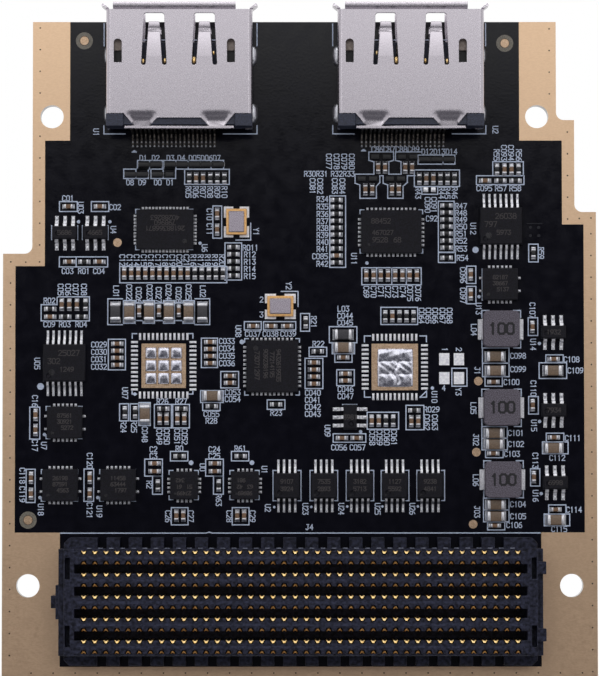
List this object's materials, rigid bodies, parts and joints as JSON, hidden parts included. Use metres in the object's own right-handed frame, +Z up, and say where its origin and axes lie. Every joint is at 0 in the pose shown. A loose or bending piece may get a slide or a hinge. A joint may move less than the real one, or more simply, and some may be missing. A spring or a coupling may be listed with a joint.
{
  "type": "displayport fmc module",
  "caption": "Mezzanine circuit board with two video sockets on its front edge, a multi-row board connector on its rear edge and surface-mounted chips between them.",
  "frame": {"origin": "midway between the two rear standoff holes, on the board's component face", "axes": "+X across the board, +Y from the board connector to the video sockets, +Z up from the component face, the way the standoffs leave"},
  "size_m": [0.069, 0.078, 0.0089],
  "materials": {
    "laminate": "satin black solder mask over glass laminate",
    "plated_gold": "matte gold plating over copper",
    "tinned": "bright solder",
    "shell_steel": "nickel-plated sheet steel",
    "socket_plastic": "moulded black",
    "contact_gold": "gold-plated spring contacts",
    "contact_tin": "tin-plated contact tails",
    "connector_plastic": "moulded dark blue-black",
    "chip_plastic": "matte moulding compound",
    "coil_core": "pressed grey powder core",
    "crystal_rim": "gold-plated ceramic rim",
    "crystal_cap": "satin metal lid",
    "capacitor_ceramic": "brown ceramic",
    "resistor_ceramic": "black glaze"
  },
  "bodies": {
    "root": {"circuit_board": "laminate", "top_ground_plating": "plated_gold", "under_ground_plating": "plated_gold", "solder_lands": "tinned", "test_points": "plated_gold", "left_socket_shell": "shell_steel", "left_socket_housing": "socket_plastic", "left_socket_contacts": "contact_tin", "right_socket_shell": "shell_steel", "right_socket_housing": "socket_plastic", "right_socket_contacts": "contact_tin", "socket_solder": "tinned", "board_connector_body": "connector_plastic", "board_connector_contacts": "contact_gold", "left_driver_chip": "chip_plastic", "right_driver_chip": "chip_plastic", "control_chip": "chip_plastic", "left_translator_chip": "chip_plastic", "right_translator_chip": "chip_plastic", "right_switch_chip": "chip_plastic", "left_upper_switch_chip": "chip_plastic", "left_outer_switch_chip": "chip_plastic", "left_inner_switch_chip": "chip_plastic", "left_buffer_chip": "chip_plastic", "right_buffer_chip": "chip_plastic", "memory_chip_1": "chip_plastic", "memory_chip_2": "chip_plastic", "memory_chip_3": "chip_plastic", "memory_chip_4": "chip_plastic", "memory_chip_5": "chip_plastic", "outer_logic_chip": "chip_plastic", "inner_logic_chip": "chip_plastic", "middle_logic_chip": "chip_plastic", "upper_regulator_chip": "chip_plastic", "middle_regulator_chip": "chip_plastic", "lower_regulator_chip": "chip_plastic", "formed_leads": "tinned", "upper_power_coil": "coil_core", "middle_power_coil": "coil_core", "lower_power_coil": "coil_core", "coil_terminals": "tinned", "left_crystal_case": "crystal_rim", "middle_crystal_case": "crystal_rim", "left_crystal_lid": "crystal_cap", "middle_crystal_lid": "crystal_cap", "capacitor_bodies": "capacitor_ceramic", "capacitor_ends": "tinned", "resistor_bodies": "resistor_ceramic", "resistor_ends": "tinned", "large_capacitor_bodies": "capacitor_ceramic", "large_capacitor_ends": "tinned", "filter_coil_bodies": "coil_core", "filter_coil_ends": "tinned", "diode_bodies": "resistor_ceramic", "diode_ends": "tinned", "thermal_pads": "plated_gold", "solder_pools": "tinned"}
  },
  "joints": []
}
